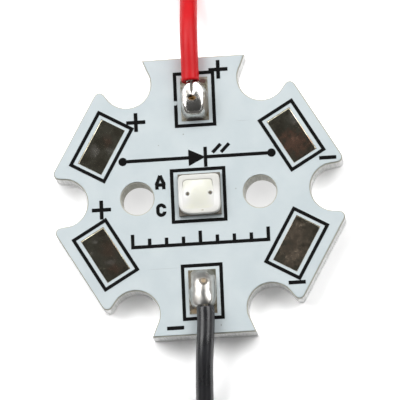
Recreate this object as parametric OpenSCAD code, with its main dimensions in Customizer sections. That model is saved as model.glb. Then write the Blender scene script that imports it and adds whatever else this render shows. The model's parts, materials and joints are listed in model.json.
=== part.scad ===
// Star-shaped metal-core board with one power LED and two soldered leads.
// Lengths are in millimetres and angles in degrees. The origin is the centre of the
// board's bottom face, +Z points out of the lit face and +Y runs along the red lead.

/* [Board] */
// Width of the board between opposite flats
across_flats = 20; // [19.5:0.5:24]
// Thickness of the aluminium base plate
base_t = 1.5; // [1:0.1:2]
// Radius of the round end of each edge notch
notch_r = 1.7; // [1.4:0.05:1.8]
// Distance from the full hexagon's corner to a notch's centre
notch_inset = 1.95; // [1.7:0.05:2.2]
// Angle by which each notch wall opens outwards
notch_flare = 8; // [3:1:14]
// Rounding of the lobe tips on the four side lobes
tip_r = 0.4; // [0.2:0.05:0.6]
// Radius of the two through holes
hole_r = 1.15; // [0.8:0.05:1.2]
// Distance of each through hole from the centre
hole_x = 4.35; // [4.2:0.05:4.5]

/* [Layers] */
// Thickness of the insulating layer on the base plate
insulator_t = 0.1; // [0.05:0.01:0.2]
// Thickness of the copper foil
copper_t = 0.07; // [0.035:0.005:0.14]
// Thickness of the solder mask over the copper
mask_t = 0.03; // [0.02:0.005:0.06]
// Thickness of the solder finish on the open pads
tin_t = 0.05; // [0.03:0.005:0.06]
// Thickness of the printed marks
print_t = 0.02; // [0.01:0.005:0.04]
// Distance by which the mask stays back from every board edge
mask_inset = 0.08; // [0.04:0.02:0.2]
// Distance by which the copper stays back from every board edge
copper_inset = 0.5; // [0.3:0.05:0.7]
// Gap between two copper areas
copper_gap = 0.3; // [0.2:0.02:0.36]

/* [Pads] */
// Width of each of the two wire pads
wire_pad_w = 1.95; // [1.6:0.05:2.3]
// Length of each of the two wire pads, towards the board's edge
wire_pad_l = 3.15; // [2.8:0.05:3.4]
// Distance from the board's edge to a wire pad's centre
wire_pad_inset = 3.05; // [2.8:0.05:3.2]
// Width of each of the four side pads
side_pad_w = 1.9; // [1.5:0.05:2.2]
// Length of each of the four side pads, along the board's edge
side_pad_l = 3.6; // [3:0.05:3.7]
// Distance from the board's edge to a side pad's centre
side_pad_inset = 2.2; // [2:0.05:2.3]

/* [Printed marks] */
// Width of a printed line
stroke = 0.24; // [0.16:0.02:0.28]
// Width of the bars of a plus or minus sign
mark_stroke = 0.26; // [0.16:0.02:0.3]
// Distance from a pad's long side to the middle of its printed frame
frame_gap_w = 0.38; // [0.3:0.02:0.44]
// Distance from a pad's short side to the middle of its printed frame
frame_gap_l = 0.32; // [0.24:0.02:0.4]
// Distance from the LED's side to the middle of its printed frame
led_frame_gap = 0.35; // [0.25:0.05:0.4]
// Length of both bars of a plus sign
plus_l = 1.36; // [1:0.04:1.4]
// Length of a minus sign
minus_l = 1.2; // [0.9:0.05:1.3]
// Height of the letters beside the LED
letter_h = 1.0; // [0.8:0.05:1.1]
// Distance from the LED's frame to the letters' middle
letter_gap = 0.83; // [0.6:0.01:0.9]
// Height of the diode sign above the LED
sign_h = 1.2; // [0.9:0.05:1.3]
// Distance from the LED's frame to the diode sign's middle
sign_gap = 0.87; // [0.8:0.01:1]
// Distance from the LED's frame to the scale below the LED
scale_gap = 1.65; // [1.4:0.05:2]
// Distance kept between the sign's ends and the side pads' frames
sign_clear = 0.12; // [0.08:0.02:1]
// Distance kept between the scale's ends and the side pads' frames
scale_clear = 0.45; // [0.2:0.05:1]

/* [LED] */
// Sideways offset of the LED as it was soldered
led_x = 0.09; // [-0.1:0.01:0.1]
// Side of the square ceramic carrier
carrier_w = 3; // [2.9:0.05:3.2]
// Thickness of the ceramic carrier
carrier_t = 0.2; // [0.15:0.05:0.4]
// Thickness of the solder under the LED
led_solder_t = 0.06; // [0.05:0.01:0.1]
// Thickness of the metal contacts under the carrier
contact_t = 0.04; // [0.02:0.01:0.06]
// Width of the contacts across the carrier
contact_w = 2.6; // [2.2:0.05:2.7]
// Depth of the anode and cathode contacts
contact_l = 0.55; // [0.4:0.05:0.6]
// Depth of the heat contact in the middle
heat_l = 0.9; // [0.7:0.05:0.95]
// Distance of the anode and cathode contacts from the LED's centre
contact_y = 1.08; // [1.06:0.02:1.14]
// Distance by which the reflector body stays inside the carrier's sides
body_inset = 0.025; // [0.02:0.005:0.1]
// Height of the white reflector body
body_h = 0.4; // [0.35:0.05:0.7]
// Radius of the body's bulging sides
body_side_r = 5; // [4:0.5:12]
// Radius of the round corners' circle, from the LED's axis
body_corner_r = 1.82; // [1.75:0.01:1.9]
// Side of the square recess in the body
recess_w = 2; // [1.9:0.05:2.1]
// Corner radius of the recess
recess_corner_r = 0.3; // [0.2:0.02:0.4]
// Depth of the recess
recess_d = 0.25; // [0.24:0.01:0.36]
// Side of the square die
die_w = 1; // [0.8:0.05:1.1]
// Thickness of the die
die_t = 0.12; // [0.08:0.01:0.15]
// Thickness of the phosphor plate on the die
phosphor_t = 0.1; // [0.05:0.01:0.12]
// Width of the bare strip on the die that a bond wire lands on
bond_land = 0.14; // [0.1:0.01:0.18]
// Diameter of a bond wire
bond_d = 0.05; // [0.03:0.01:0.06]
// Diameter of a bond pad on the recess floor
bond_pad_d = 0.26; // [0.16:0.02:0.28]
// Thickness of a bond pad
bond_pad_t = 0.02; // [0.01:0.005:0.03]
// Radius of the clear fill's domed top
fill_r = 4; // [3:0.5:12]

/* [Solder joints] */
// Diameter of the stripped strand bundle
core_d = 0.7; // [0.5:0.05:0.75]
// Length of the stripped strands
core_l = 2; // [1.6:0.1:2.2]
// Distance by which the solder stays inside the pad's sides
joint_inset = 0.04; // [0.02:0.01:0.1]
// Height of the solder mound at its middle
mound_h = 0.6; // [0.45:0.05:0.7]
// Height of the solder mound at the middle of the pad's sides
mound_edge_h = 0.1; // [0.06:0.02:0.2]
// Thickness of the solder round the strands
solder_wall = 0.2; // [0.15:0.01:0.25]
// Radius of the round drop at the positive joint
drop_r = 0.85; // [0.7:0.05:0.9]
// Radius of the flatter drop at the negative joint
low_drop_r = 0.7; // [0.6:0.05:0.75]

/* [Leads] */
// Diameter of the insulation
lead_d = 1.25; // [1.1:0.05:1.3]
// Mean radius of a lead's coil
coil_r = 7.5; // [7.2:0.05:7.6]
// Diameter of the bare tinned far end
tip_d = 0.5; // [0.4:0.05:0.6]
// Length of the bare tinned far end
tip_l = 4; // [3:0.5:5]
// Width of the tie round a coil
tie_w = 1.6; // [1:0.1:2]
// Thickness of the tie
tie_t = 0.2; // [0.15:0.05:0.3]

/* [Hidden] */
$fn = 48;

// Heights of the layers
z_insulator = base_t;
z_copper = z_insulator + insulator_t;
z_copper_top = z_copper + copper_t;
z_mask_top = z_copper_top + mask_t;
z_print_top = z_mask_top + print_t;
z_tin_top = z_copper_top + tin_t;
z_contact = z_copper_top + led_solder_t;
z_carrier = z_contact + contact_t;
z_body = z_carrier + carrier_t;
z_rim = z_body + body_h;
z_recess = z_rim - recess_d;
z_die_top = z_recess + die_t;
z_phosphor_top = z_die_top + phosphor_t;
z_core = z_print_top + lead_d / 2;

// Places on the board
apothem = across_flats / 2;
notch_ring = apothem / cos(30) - notch_inset;
wire_pad_y = apothem - wire_pad_inset;
side_pad_ring = apothem - side_pad_inset;
side_angles = [30, 150, 210, 330];
led_frame_w = carrier_w + 2 * led_frame_gap;
// Distance from the centre to the inner side of a side pad's printed frame
side_frame_ring = side_pad_ring - side_pad_w / 2 - frame_gap_w - stroke / 2;
// Radius of the dots at the diode sign's ends
sign_dot_r = 0.3;
sign_y = led_frame_w / 2 + sign_gap;
sign_half = (side_frame_ring - sign_clear - sign_dot_r - sign_y * sin(30)) / cos(30);
scale_y = led_frame_w / 2 + scale_gap;
scale_half = (side_frame_ring - scale_clear - scale_y * sin(30)) / cos(30);
// Lift of the two letters against the LED's middle
letter_lift = 0.07;
// Polarity marks of the side pads: pad's angle, side of the pad (1 is outwards), then how far
// past the pad's long side and past its end, as printed
side_pluses = [[150, -1, 0.42, 0.86], [210, -1, 0.53, 1.09]];
side_minuses = [[30, 1, 0.3, 0.98], [330, 1, 0.36, 0.66]];
// Polarity marks of the wire pads: how far past the pad's long side and past its end
wire_plus = [0.78, 0.48];
wire_minus = [1.04, 0.91];
// Direction of the gap between the positive and the negative copper
split_angle = 60;
// Copper left round a contact
copper_lip = 0.04;
// Half length of the copper under the LED's heat contact
heat_copper_x = 2.8;
// A length that reaches past the board on every side
far = 40;
// Overlap of a cutter past the face it opens
past = 0.5;

// Outline of the star: facets on a rounded tip, and how far the walls run into the round end
tip_steps = 5;
wall_run_in = 0.6;

// The photographed pad place that the lead routes below were chosen at
route_pad_y = 6.95;
lead_shift = wire_pad_y - route_pad_y;
insulation_y = 8;
// Gap between the solder and the insulation
strip_gap = 0.1;
// Growth of the solder neck's radius towards the drop, and the drop's place past the strands' end
neck_flare = 0.04;
drop_past = 0.25;
red_x = -0.18;
black_x = 0.2;
lead_sides = 8;
red_route = [
    [-0.18, 8, 2.35], [-0.18, 9, 2.35], [-0.18, 10, 2.35], [-0.18, 10.8, 2.33],
    [-0.18, 11.6, 2.22], [-0.18, 12.4, 2.0], [-0.18, 13.2, 1.66], [-0.18, 14, 1.29],
    [-0.18, 14.8, 0.96], [-0.18, 15.6, 0.75], [-0.18, 16.4, 0.65], [-0.18, 17.2, 0.63],
    [-0.18, 18.5, 0.63], [-0.18, 20, 0.63], [-0.18, 21.5, 0.63], [-0.18, 23, 0.63],
    [-0.18, 24.5, 0.63], [-0.18, 26, 0.63]];
black_route = [
    [0.2, -8, 2.35], [0.2, -9, 2.35], [0.14, -10, 2.35], [0.07, -10.8, 2.33],
    [-0.01, -11.6, 2.22], [-0.08, -12.4, 2.0], [-0.14, -13.2, 1.66], [-0.2, -14, 1.29],
    [-0.24, -14.8, 0.96], [-0.27, -15.6, 0.75], [-0.29, -16.4, 0.65], [-0.3, -17.2, 0.63],
    [-0.3, -18.5, 0.63], [-0.3, -20, 0.63], [-0.3, -21.5, 0.63], [-0.3, -23, 0.63],
    [-0.3, -25, 0.63]];
// Angles of a coil's free end and of its tie
tip_angle = 331;
tie_angle = 60;
// Gap round the lead and the bare tip where they lie in the coil
cord_gap = 0.06;

// Geometry of the outline and of the leads
function meet(n1, d1, n2, d2) =
    let (det = n1[0] * n2[1] - n1[1] * n2[0])
    [(d1 * n2[1] - n1[1] * d2) / det, (n1[0] * d2 - d1 * n2[0]) / det];
function turned(p, a) = [p[0] * cos(a) - p[1] * sin(a), p[0] * sin(a) + p[1] * cos(a)];

// Tip of the lobe that follows a notch at angle 0, as an arc of points with radius r
function tip_points(inset, r) =
    let (n_flat = [cos(30), sin(30)],
         n_wall = [sin(notch_flare), -cos(notch_flare)],
         d_flat = apothem - inset - r,
         d_wall = n_wall * [notch_ring, notch_r] - inset - r,
         c = meet(n_flat, d_flat, n_wall, d_wall),
         start = notch_flare - 90)
    r == 0 ? [c] : [for (i = [0:tip_steps])
        let (a = start + (30 - start) * i / tip_steps)
        c + r * [cos(a), sin(a)]];
// Start of that lobe's wall, inside the notch's round end
function wall_start(inset) =
    let (side = notch_r + inset / cos(notch_flare) - wall_run_in * tan(notch_flare))
    [notch_ring - wall_run_in, side];
function flipped(points) =
    [for (i = [len(points) - 1:-1:0]) [points[i][0], -points[i][1]]];
// The side lobes have round tips, the top and bottom lobes sharp ones
function tip_radius(inset, round_tip) = round_tip ? max(0, tip_r - inset) : 0;
function star_points(inset) = [
    for (k = [0:5])
        let (after = tip_points(inset, tip_radius(inset, k % 3 != 1)),
             before = flipped(tip_points(inset, tip_radius(inset, k % 3 != 2))),
             start = wall_start(inset),
             loop = concat(before, [[start[0], -start[1]], start], after))
        for (p = loop) turned(p, 60 * k)];

function unit(v) = v / norm(v);
function route_direction(route, i) =
    unit(route[min(i + 1, len(route) - 1)] - route[max(i - 1, 0)]);
function ring_points(route, i) =
    let (along = route_direction(route, i),
         side = unit(cross(along, [0, 0, 1])),
         up = cross(side, along))
    [for (s = [0:lead_sides - 1])
        let (a = 360 * (s + 0.5) / lead_sides)
        route[i] + lead_d / 2 * (cos(a) * side + sin(a) * up)];

// Shared shapes
module block(size, z0, z1) {
    translate([-size[0] / 2, -size[1] / 2, z0]) cube([size[0], size[1], z1 - z0]);
}

module star_plate(inset, z0, z1) {
    difference() {
        translate([0, 0, z0]) linear_extrude(z1 - z0) polygon(star_points(inset));
        for (k = [0:5])
            rotate(60 * k) translate([notch_ring, 0, z0 - past])
                cylinder(r = notch_r + inset, h = z1 - z0 + 2 * past);
        for (x = [-hole_x, hole_x])
            translate([x, 0, z0 - past])
                cylinder(r = hole_r + inset, h = z1 - z0 + 2 * past);
    }
}

module at_wire_pads() {
    for (side = [-1, 1]) translate([0, side * wire_pad_y, 0]) children();
}

module at_side_pads() {
    for (a = side_angles) rotate(a) translate([side_pad_ring, 0, 0]) children();
}

module contact_blocks(grow, z0, z1) {
    for (side = [-1, 1])
        translate([0, side * contact_y, 0])
            block([contact_w + 2 * grow, contact_l + 2 * grow], z0, z1);
    block([contact_w + 2 * grow, heat_l + 2 * grow], z0, z1);
}

// Copper: side +1 is the positive half at the upper left, side -1 the negative one
module copper_finger(side, grow, z0, z1) {
    translate([0, side * contact_y, 0])
        block([contact_w + 2 * (copper_lip + grow), contact_l + 2 * (copper_lip + grow)], z0, z1);
}

module heat_area(grow, z0, z1) {
    block([2 * (heat_copper_x + grow), heat_l + 2 * (copper_lip + grow)], z0, z1);
}

module copper_half(side, z0, z1) {
    clear = copper_gap - copper_lip;
    difference() {
        union() {
            intersection() {
                star_plate(copper_inset, z0, z1);
                rotate(split_angle)
                    translate([-far, side > 0 ? copper_gap / 2 : -far - copper_gap / 2, z0 - past])
                        cube([2 * far, far, z1 - z0 + 2 * past]);
            }
            copper_finger(side, 0, z0, z1);
        }
        heat_area(clear - copper_lip, z0 - past, z1 + past);
        copper_finger(-side, clear, z0 - past, z1 + past);
    }
}

// Printed signs, each drawn flat on the mask
module bar(length, width) {
    block([length, width], z_mask_top, z_print_top);
}

module dot(r) {
    translate([0, 0, z_mask_top]) cylinder(r = r, h = print_t);
}

module frame(w, l) {
    difference() {
        block([w + stroke, l + stroke], z_mask_top, z_print_top);
        block([w - stroke, l - stroke], z_mask_top - past, z_print_top + past);
    }
}

module line_between(a, b) {
    d = b - a;
    translate([(a[0] + b[0]) / 2, (a[1] + b[1]) / 2, 0])
        rotate(atan2(d[1], d[0])) bar(norm(d) + stroke, stroke);
}

module plus_sign() {
    bar(plus_l, mark_stroke);
    bar(mark_stroke, plus_l);
}

module minus_sign() {
    bar(minus_l, mark_stroke);
}

module letter_a() {
    foot = 0.36 * letter_h - stroke / 2;
    half = (letter_h - stroke) / 2;
    knee = -0.1 * letter_h;
    for (side = [-1, 1]) {
        line_between([side * foot, -half], [side * foot, knee]);
        line_between([side * foot, knee], [side * 0.05 * letter_h, half]);
    }
    line_between([-foot, -0.18 * letter_h], [foot, -0.18 * letter_h]);
}

module letter_c() {
    r = 0.36 * letter_h;
    half = 0.12 * letter_h;
    for (side = [-1, 1])
        translate([0, side * half, 0])
            difference() {
                dot(r);
                translate([0, 0, z_mask_top - past]) cylinder(r = r - stroke, h = print_t + 2 * past);
                translate([0, side > 0 ? -r : 0, 0])
                    translate([-2 * r, 0, z_mask_top - past]) cube([4 * r, r, print_t + 2 * past]);
            }
    translate([-r + stroke / 2, 0, 0]) bar(stroke, 2 * half + 0.02);
}

// A mark beside a side pad, upright on the board
module at_side_mark(m) {
    out = m[1] * (side_pad_w / 2 + m[2]);
    along = -side_pad_l / 2 - m[3];
    rotate(m[0]) translate([side_pad_ring + out, along, 0]) rotate(-m[0]) children();
}

// Board
module base_plate() {
    color("silver") star_plate(0, 0, base_t);
}

module insulating_layer() {
    color("darkkhaki") star_plate(0, z_insulator, z_copper);
}

module anode_copper() {
    color("peru") copper_half(1, z_copper, z_copper_top);
}

module cathode_copper() {
    color("peru") copper_half(-1, z_copper, z_copper_top);
}

module heat_copper() {
    color("peru") heat_area(0, z_copper, z_copper_top);
}

module solder_mask() {
    color("whitesmoke") difference() {
        star_plate(mask_inset, z_copper, z_mask_top);
        copper_half(1, z_copper - past, z_copper_top);
        copper_half(-1, z_copper - past, z_copper_top);
        heat_area(0, z_copper - past, z_copper_top);
        at_wire_pads() block([wire_pad_w, wire_pad_l], z_copper, z_mask_top + past);
        at_side_pads() block([side_pad_w, side_pad_l], z_copper, z_mask_top + past);
        contact_blocks(0, z_copper, z_mask_top + past);
    }
}

module wire_pad_tin() {
    color("gray") at_wire_pads() block([wire_pad_w, wire_pad_l], z_copper_top, z_tin_top);
}

module side_pad_tin() {
    color("gray") at_side_pads() block([side_pad_w, side_pad_l], z_copper_top, z_tin_top);
}

module pad_print() {
    color("black") union() {
        at_wire_pads() frame(wire_pad_w + 2 * frame_gap_w, wire_pad_l + 2 * frame_gap_l);
        at_side_pads() frame(side_pad_w + 2 * frame_gap_w, side_pad_l + 2 * frame_gap_l);
        translate([wire_pad_w / 2 + wire_plus[0], wire_pad_y + wire_pad_l / 2 + wire_plus[1], 0])
            plus_sign();
        translate([-wire_pad_w / 2 - wire_minus[0], -wire_pad_y - wire_pad_l / 2 - wire_minus[1], 0])
            minus_sign();
        for (m = side_pluses) at_side_mark(m) plus_sign();
        for (m = side_minuses) at_side_mark(m) minus_sign();
    }
}

module led_print() {
    color("black") union() {
        frame(led_frame_w, led_frame_w);
        translate([-led_frame_w / 2 - letter_gap, letter_lift + letter_h, 0]) letter_a();
        translate([-led_frame_w / 2 - letter_gap, letter_lift - letter_h, 0]) letter_c();
    }
}

// A plain light-emitting diode sign above the LED and a plain scale below it
module symbol_print() {
    tri = sign_h / 2;
    color("black") union() {
        translate([0, sign_y, 0]) {
            line_between([-sign_half, 0], [-tri, 0]);
            line_between([tri, 0], [sign_half, 0]);
            line_between([tri, -tri], [tri, tri]);
            translate([0, 0, z_mask_top]) linear_extrude(print_t)
                polygon([[-tri, -tri], [tri, 0], [-tri, tri]]);
            for (side = [-1, 1]) translate([side * sign_half, 0, 0]) dot(sign_dot_r);
            for (x = [2, 3]) line_between([x * tri, 0.6 * tri], [(x + 0.7) * tri, 1.3 * tri]);
        }
        translate([0, -scale_y, 0]) {
            line_between([-scale_half, 0], [scale_half, 0]);
            for (i = [0:8])
                line_between([-scale_half + i * scale_half / 4, 0],
                             [-scale_half + i * scale_half / 4, i % 4 == 0 ? 0.8 * letter_h : 0.45 * letter_h]);
        }
    }
}

// LED
module at_led() {
    translate([led_x, 0, 0]) children();
}

module led_solder() {
    color("gray") contact_blocks(0, z_copper_top, z_contact);
}

module led_contacts() {
    color("gold") at_led() contact_blocks(0, z_contact, z_carrier);
}

module led_carrier() {
    color("dimgray") at_led() block([carrier_w, carrier_w], z_carrier, z_body);
}

module recess_block(z0, z1) {
    in = recess_w - 2 * recess_corner_r;
    union() {
        block([recess_w, in], z0, z1);
        block([in, recess_w], z0, z1);
        for (x = [-in / 2, in / 2], y = [-in / 2, in / 2])
            translate([x, y, z0]) cylinder(r = recess_corner_r, h = z1 - z0);
    }
}

module body_side(angle) {
    reach = body_side_r - carrier_w / 2 + body_inset;
    rotate(angle) translate([reach, 0, z_body]) cylinder(r = body_side_r, h = body_h, $fn = 96);
}

module led_body() {
    color("ivory") at_led() difference() {
        intersection() {
            body_side(0);
            body_side(90);
            body_side(180);
            body_side(270);
            translate([0, 0, z_body - past]) cylinder(r = body_corner_r, h = body_h + 2 * past);
        }
        recess_block(z_recess, z_rim + past);
    }
}

// Feet of the bond wires, most of the way from the die to the recess wall
bond_foot_x = die_w / 2 + 0.62 * (recess_w - die_w) / 2;
bond_start_x = die_w / 2 - bond_land / 2;

module led_bond_pads() {
    color("gold") at_led() for (x = [-bond_foot_x, bond_foot_x])
        translate([x, 0, z_recess]) cylinder(d = bond_pad_d, h = bond_pad_t);
}

module led_die() {
    color("slateblue") at_led() block([die_w, die_w], z_recess, z_die_top);
}

module led_phosphor() {
    color("khaki") at_led() block([die_w - 2 * bond_land, die_w], z_die_top, z_phosphor_top);
}

// An arch from the die's bare strip, then straight down to its bond pad
module bond_wire() {
    arch_r = (bond_foot_x - bond_start_x) / 2;
    z_foot = z_recess + bond_pad_t;
    union() {
        translate([bond_start_x + arch_r, 0, z_die_top]) rotate([90, 0, 0])
            rotate_extrude(angle = 180) translate([arch_r, 0]) circle(d = bond_d, $fn = 24);
        translate([bond_foot_x, 0, z_foot]) cylinder(d = bond_d, h = z_die_top - z_foot, $fn = 24);
    }
}

module bond_wire_right() {
    color("gold") at_led() bond_wire();
}

module bond_wire_left() {
    color("gold") at_led() mirror([1, 0, 0]) bond_wire();
}

module led_fill() {
    corner = recess_w / 2 * sqrt(2) - recess_corner_r * (sqrt(2) - 1);
    z_centre = z_rim - sqrt(fill_r * fill_r - corner * corner);
    color("lightcyan", 0.5) at_led() difference() {
        intersection() {
            recess_block(z_recess, z_rim + body_h);
            translate([0, 0, z_centre]) sphere(r = fill_r, $fn = 96);
        }
        block([die_w, die_w], z_recess - past, z_die_top);
        block([die_w - 2 * bond_land, die_w], z_recess - past, z_phosphor_top);
        for (x = [-bond_foot_x, bond_foot_x])
            translate([x, 0, z_recess - past]) cylinder(d = bond_pad_d, h = bond_pad_t + past);
        bond_wire();
        mirror([1, 0, 0]) bond_wire();
    }
}

// Solder joints, drawn at the positive pad and mirrored for the negative one
module core_rod(x, d, extra) {
    translate([x, insulation_y + lead_shift + extra, z_core]) rotate([90, 0, 0])
        cylinder(d = d, h = core_l + extra);
}

// A pillow: two lying cylinders, one along the pad and one across it, cut at the pad
module mound(end_y) {
    rise = mound_h - mound_edge_h;
    half_w = wire_pad_w / 2 - joint_inset;
    half_l = wire_pad_l / 2 - joint_inset;
    r_w = (half_w * half_w + rise * rise) / (2 * rise);
    r_l = (half_l * half_l + rise * rise) / (2 * rise);
    intersection() {
        translate([-half_w, wire_pad_y - half_l, z_tin_top])
            cube([2 * half_w, end_y - wire_pad_y + half_l, mound_h + past]);
        translate([0, wire_pad_y - far, z_tin_top + mound_h - r_w]) rotate([-90, 0, 0])
            cylinder(r = r_w, h = 2 * far, $fn = 96);
        translate([-far, wire_pad_y, z_tin_top + mound_h - r_l]) rotate([0, 90, 0])
            cylinder(r = r_l, h = 2 * far, $fn = 96);
    }
}

module joint(x, r_drop) {
    end_y = insulation_y + lead_shift - strip_gap;
    drop_y = insulation_y + lead_shift - core_l + drop_past;
    r_neck = min(core_d / 2 + solder_wall, z_core - z_tin_top - neck_flare - cord_gap / 2);
    difference() {
        union() {
            mound(end_y);
            intersection() {
                translate([0, drop_y, z_core]) sphere(r = r_drop);
                block([far, far], z_tin_top, z_tin_top + far);
            }
            translate([x, end_y, z_core]) rotate([90, 0, 0])
                cylinder(r1 = r_neck, r2 = r_neck + neck_flare, h = end_y - drop_y);
        }
        core_rod(x, core_d, past);
    }
}

module red_core() {
    color("silver") core_rod(red_x, core_d, 0);
}

module red_joint() {
    color("lightgray") joint(red_x, drop_r);
}

module black_core() {
    color("silver") mirror([0, 1, 0]) core_rod(black_x, core_d, 0);
}

module black_joint() {
    color("lightgray") mirror([0, 1, 0]) joint(black_x, low_drop_r);
}

// Leads
module lead(route) {
    n = len(route);
    points = [for (i = [0:n - 1]) for (p = ring_points(route, i)) p];
    walls = [for (i = [0:n - 2]) for (s = [0:lead_sides - 1])
        let (t = (s + 1) % lead_sides)
        [i * lead_sides + s, i * lead_sides + t, (i + 1) * lead_sides + t, (i + 1) * lead_sides + s]];
    first = [for (s = [lead_sides - 1:-1:0]) s];
    last = [for (s = [0:lead_sides - 1]) (n - 1) * lead_sides + s];
    polyhedron(points, concat(walls, [first, last]), convexity = 4);
}

module coil_ring(z0) {
    rotate_extrude($fn = 96) translate([coil_r - lead_d, z0]) square([2 * lead_d, 2 * lead_d - z0]);
}

// A coil whose lead comes in at the west point going north
module coil() {
    lane = coil_r + lead_d / 2;
    lane_w = lead_d + 2 * cord_gap;
    difference() {
        coil_ring(0);
        translate([-lane - lane_w / 2, -coil_r, -past]) cube([lane_w, coil_r, lead_d + cord_gap + past]);
        rotate(tip_angle) translate([lane - tip_d / 2 - cord_gap, -coil_r, 1.5 * lead_d - tip_d / 2 - cord_gap])
            cube([2 * lead_d, coil_r, 2 * lead_d]);
        rotate(tie_angle) translate([coil_r - 2 * lead_d, -tie_w / 2, -past])
            cube([4 * lead_d, tie_w, tie_t + past]);
    }
}

module tie() {
    difference() {
        rotate(tie_angle) translate([coil_r - lead_d - tie_t, -tie_w / 2, 0])
            cube([2 * (lead_d + tie_t), tie_w, 2 * lead_d + tie_t]);
        coil_ring(tie_t);
    }
}

module tip() {
    rotate(tip_angle) translate([coil_r + lead_d / 2, 0, 1.5 * lead_d]) rotate([90, 0, 0])
        cylinder(d = tip_d, h = tip_l);
}

module at_red_coil() {
    end = red_route[len(red_route) - 1];
    translate([end[0] + coil_r + lead_d / 2, end[1] + lead_shift, 0]) children();
}

module at_black_coil() {
    end = black_route[len(black_route) - 1];
    translate([end[0] + coil_r + lead_d / 2, end[1] - lead_shift, 0]) mirror([0, 1, 0]) children();
}

module red_lead() {
    color("red") translate([0, lead_shift, 0]) lead(red_route);
}

module red_coil() {
    color("red") at_red_coil() coil();
}

module red_tie() {
    color("white") at_red_coil() tie();
}

module red_tip() {
    color("silver") at_red_coil() tip();
}

module black_lead() {
    color("black") translate([0, -lead_shift, 0]) lead(black_route);
}

module black_coil() {
    color("black") at_black_coil() coil();
}

module black_tie() {
    color("white") at_black_coil() tie();
}

module black_tip() {
    color("silver") at_black_coil() tip();
}

base_plate();
insulating_layer();
anode_copper();
cathode_copper();
heat_copper();
solder_mask();
wire_pad_tin();
side_pad_tin();
pad_print();
led_print();
symbol_print();
led_solder();
led_contacts();
led_carrier();
led_body();
led_bond_pads();
led_die();
led_phosphor();
bond_wire_left();
bond_wire_right();
led_fill();
red_core();
red_joint();
black_core();
black_joint();
red_lead();
red_coil();
red_tie();
red_tip();
black_lead();
black_coil();
black_tie();
black_tip();
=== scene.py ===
"""Dressed model of a star-shaped metal-core board with one power LED and two leads.

Lengths in the classes are in millimetres; meshes are written in metres. The frame is the
part's own: origin at the centre of the board's bottom face, +Z out of the lit face.
"""

import json
import logging
import math
from dataclasses import dataclass
from enum import Enum
from typing import Dict, List, Optional, Sequence, Tuple, Union

import bpy
import numpy as np
from mathutils import Matrix, Vector


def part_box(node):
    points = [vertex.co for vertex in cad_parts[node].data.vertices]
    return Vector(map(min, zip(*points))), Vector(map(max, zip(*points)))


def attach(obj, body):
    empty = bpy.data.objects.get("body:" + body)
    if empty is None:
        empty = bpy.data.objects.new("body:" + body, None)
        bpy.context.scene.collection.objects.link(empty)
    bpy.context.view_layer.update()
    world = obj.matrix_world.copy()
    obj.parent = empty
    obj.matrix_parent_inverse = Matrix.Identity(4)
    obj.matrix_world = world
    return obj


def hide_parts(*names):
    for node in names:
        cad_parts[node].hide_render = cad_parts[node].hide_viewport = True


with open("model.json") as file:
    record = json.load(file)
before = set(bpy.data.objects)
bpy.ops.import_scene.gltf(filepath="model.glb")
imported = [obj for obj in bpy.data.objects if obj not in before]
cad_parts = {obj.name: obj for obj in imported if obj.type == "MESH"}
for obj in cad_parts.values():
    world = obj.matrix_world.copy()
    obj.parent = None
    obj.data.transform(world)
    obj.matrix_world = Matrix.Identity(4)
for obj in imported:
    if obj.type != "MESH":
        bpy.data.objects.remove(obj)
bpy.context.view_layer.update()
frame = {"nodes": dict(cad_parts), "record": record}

MM = 0.001
# Distance of each drilled hole from the board's centre, in millimetres
HOLE_X = 4.35
Pair = Tuple[float, float]
Vec = Tuple[float, float, float]
Rgb = Tuple[float, float, float]
Size = Union[float, np.ndarray]
Socket = bpy.types.NodeSocket
Feeds = Dict[Union[int, str], object]
LOG = logging.getLogger("star_board")


class Level(Enum):
    """Heights of the board's layers above its bottom face, in millimetres."""

    MASK = 1.70
    PAD = 1.72
    LED_BODY = 1.97
    LED_RIM = 2.37
    RECESS = 2.12


# Meshes from rings of points


def ring_faces(rings: int, count: int) -> np.ndarray:
    """Quads between neighbouring rings of points, each ring closed on itself.

    Args:
        rings: number of rings.
        count: number of points on a ring.

    Returns:
        Vertex numbers, four to a face.
    """
    r, c = np.meshgrid(np.arange(rings - 1), np.arange(count), indexing="ij")
    here = r * count + c
    beside = r * count + (c + 1) % count
    return np.stack([here, beside, beside + count, here + count], axis=-1).reshape(-1, 4)


def ring_object(name: str, rings: np.ndarray, flip: bool = False) -> bpy.types.Object:
    """Makes a smooth closed mesh from rings of points, with a fan round the mean point at each end.

    Args:
        name: the piece's name.
        rings: array of rings by points by 3, in millimetres.
        flip: turn the faces round.

    Returns:
        The new object, at the origin.
    """
    rows, count, _ = rings.shape
    verts = np.vstack([rings.reshape(-1, 3), rings[0].mean(axis=0), rings[-1].mean(axis=0)])
    here = np.arange(count)
    beside = (here + 1) % count
    last = (rows - 1) * count
    first_fan = np.stack([beside, here, np.full(count, rows * count)], axis=-1)
    last_fan = np.stack([last + here, last + beside, np.full(count, rows * count + 1)], axis=-1)
    order = -1 if flip else 1
    blocks = (ring_faces(rows, count), first_fan, last_fan)
    faces: List[List[int]] = [face for block in blocks for face in block[:, ::order].tolist()]
    mesh = bpy.data.meshes.new(name)
    mesh.from_pydata((verts * MM).tolist(), [], faces)
    mesh.polygons.foreach_set("use_smooth", np.ones(len(mesh.polygons), dtype=bool))
    mesh.update()
    obj = bpy.data.objects.new(name, mesh)
    bpy.context.scene.collection.objects.link(obj)
    return obj


def joined(name: str, parts: Sequence[bpy.types.Object]) -> bpy.types.Object:
    """Makes one object of several, all at the origin.

    Args:
        name: the new piece's name.
        parts: the objects to join; they are used up.

    Returns:
        The joined object.
    """
    with bpy.context.temp_override(active_object=parts[0], selected_editable_objects=list(parts)):
        bpy.ops.object.join()
    parts[0].name = name
    parts[0].data.name = name
    return parts[0]


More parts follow.
